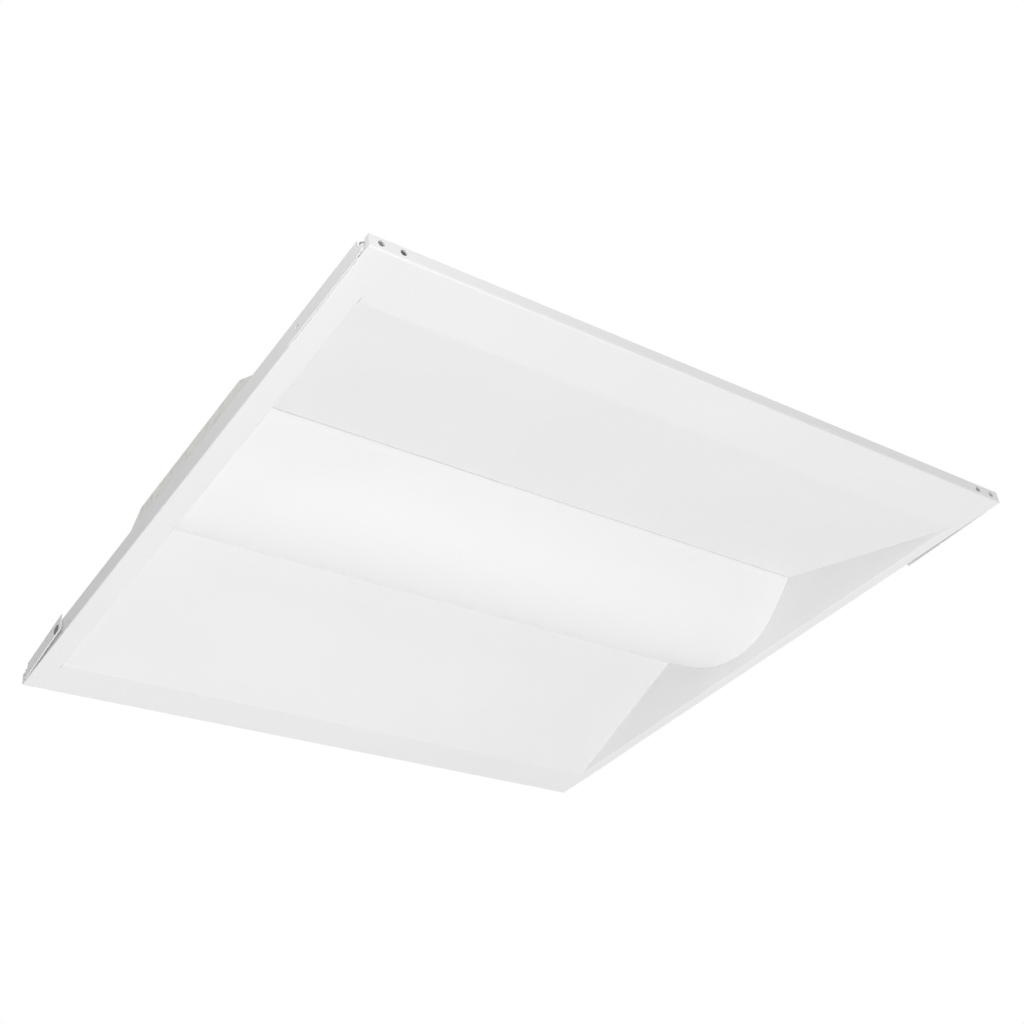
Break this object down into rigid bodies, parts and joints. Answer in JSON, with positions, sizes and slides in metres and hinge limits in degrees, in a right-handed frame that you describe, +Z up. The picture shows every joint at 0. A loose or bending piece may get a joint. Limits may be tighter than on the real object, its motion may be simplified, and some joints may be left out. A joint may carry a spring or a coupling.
{
  "type": "recessed troffer light",
  "caption": "Square recessed ceiling light for a lay-in grid, with sloped white reflectors, a frosted bowed lens and a driver box on its back.",
  "frame": {"origin": "centre of the underside of the flange, level with the face that rests on the ceiling grid", "axes": "+Z up into the ceiling space, +X along the lens from the front to the rear end plate, +Y from the left to the right reflector"},
  "size_m": [0.6126, 0.6032, 0.0958],
  "materials": {
    "white_paint": "matte white powder coat",
    "galvanised_steel": "bright galvanised sheet",
    "bare_steel": "plain spring steel and rivets",
    "zinc_screw": "bright zinc plate",
    "frosted_acrylic": "satin white diffusing acrylic",
    "white_board": "white solder mask",
    "led_chip": "yellow phosphor",
    "white_plastic": "moulded white nylon",
    "red_wire": "wire insulation",
    "white_wire": "wire insulation",
    "black_wire": "wire insulation",
    "green_wire": "wire insulation",
    "black_rubber": "moulded grommet",
    "driver_metal": "white enamelled steel case",
    "green_board": "green solder mask",
    "dark_core": "ferrite core and tape",
    "black_can": "sleeved capacitor"
  },
  "bodies": {
    "housing": {"board_plugs": "white_plastic", "board_screws": "zinc_screw", "box_screws": "zinc_screw", "centre_channel": "galvanised_steel", "channel_rivets": "bare_steel", "clip_pins": "bare_steel", "corner_bracket_front_left": "galvanised_steel", "corner_bracket_front_right": "galvanised_steel", "corner_bracket_rear_left": "galvanised_steel", "corner_bracket_rear_right": "galvanised_steel", "driver_board": "green_board", "driver_box": "galvanised_steel", "driver_capacitors": "black_can", "driver_case": "driver_metal", "driver_lid": "driver_metal", "driver_screws": "zinc_screw", "driver_terminals": "white_plastic", "driver_transformer": "dark_core", "end_plate_rivets": "bare_steel", "front_end_plate": "white_paint", "ground_screw": "zinc_screw", "ground_wire": "green_wire", "hinge_pins": "bare_steel", "jumper_wires": "white_wire", "knockout_slugs": "galvanised_steel", "led_board_front_left": "white_board", "led_board_front_right": "white_board", "led_board_rear_left": "white_board", "led_board_rear_right": "white_board", "led_chips_front_left": "led_chip", "led_chips_front_right": "led_chip", "led_chips_rear_left": "led_chip", "led_chips_rear_right": "led_chip", "led_wires": "red_wire", "left_reflector": "white_paint", "lens_clips": "bare_steel", "rear_end_plate": "white_paint", "right_reflector": "white_paint", "supply_wires": "black_wire", "wire_grommet": "black_rubber", "wiring_connector": "white_plastic"},
    "lens_body": {"lens": "frosted_acrylic"},
    "cover_body": {"access_cover": "galvanised_steel"},
    "clip_front_left": {"grid_clip_front_left": "white_paint"},
    "clip_front_right": {"grid_clip_front_right": "white_paint"},
    "clip_rear_left": {"grid_clip_rear_left": "white_paint"},
    "clip_rear_right": {"grid_clip_rear_right": "white_paint"}
  },
  "joints": [
    {"name": "lens_drop", "type": "slide", "parent": "housing", "child": "lens_body", "axis": [0, 0, -1], "range_m": [0, 0.06]},
    {"name": "cover_hinge", "type": "hinge", "parent": "housing", "child": "cover_body", "pos_m": [0, 0.0629, 0.0932], "axis": [-1, 0, 0], "range_deg": [0, 100]},
    {"name": "clip_swing_front_left", "type": "hinge", "parent": "housing", "child": "clip_front_left", "pos_m": [-0.30028, -0.29213, 0.006], "axis": [0, 0, 1], "range_deg": [0, 90]},
    {"name": "clip_swing_front_right", "type": "hinge", "parent": "housing", "child": "clip_front_right", "pos_m": [-0.30028, 0.29213, 0.006], "axis": [0, 0, -1], "range_deg": [-2.2, 87.8]},
    {"name": "clip_swing_rear_left", "type": "hinge", "parent": "housing", "child": "clip_rear_left", "pos_m": [0.30028, -0.29213, 0.006], "axis": [0, 0, -1], "range_deg": [-2.2, 87.8]},
    {"name": "clip_swing_rear_right", "type": "hinge", "parent": "housing", "child": "clip_rear_right", "pos_m": [0.30028, 0.29213, 0.006], "axis": [0, 0, 1], "range_deg": [0, 90]}
  ]
}
